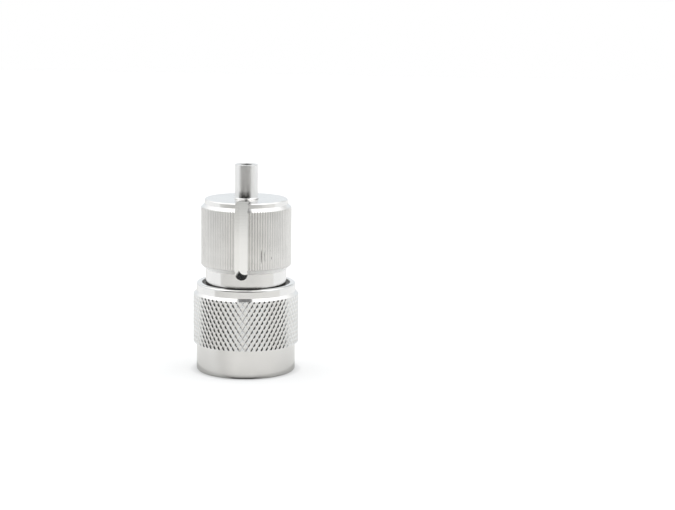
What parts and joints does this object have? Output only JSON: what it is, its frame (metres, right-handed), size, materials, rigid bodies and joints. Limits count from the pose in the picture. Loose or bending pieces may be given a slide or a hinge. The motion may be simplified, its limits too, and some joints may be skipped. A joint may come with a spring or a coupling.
{
  "type": "n type connector",
  "caption": "Coaxial plug with a knurled screw coupling nut, a knurled body with two spanner slots and a solder tube for semi-rigid cable.",
  "frame": {"origin": "centre of the coupling nut's mouth, on the plane that the plug stands on", "axes": "+Z along the cable axis, from the mating mouth to the open end of the cable tube; the spanner slots face +Y and -Y"},
  "size_m": [0.021, 0.021, 0.0414],
  "materials": {
    "nut_nickel": "polished",
    "body_nickel": "polished",
    "contact_nickel": "polished",
    "spring_bronze": "satin",
    "gold": "polished",
    "silicone": "satin",
    "ptfe": "satin"
  },
  "bodies": {
    "plug": {"body": "body_nickel", "outer_contact": "contact_nickel", "retaining_ring": "spring_bronze", "gasket": "silicone", "front_insulator": "ptfe", "rear_insulator": "ptfe", "centre_pin": "gold"},
    "nut": {"coupling_nut": "nut_nickel"}
  },
  "joints": [
    {"name": "nut_spin", "type": "hinge", "parent": "plug", "child": "nut", "pos_m": [0, 0, 0.016], "axis": [0, 0, 1], "continuous": true}
  ]
}
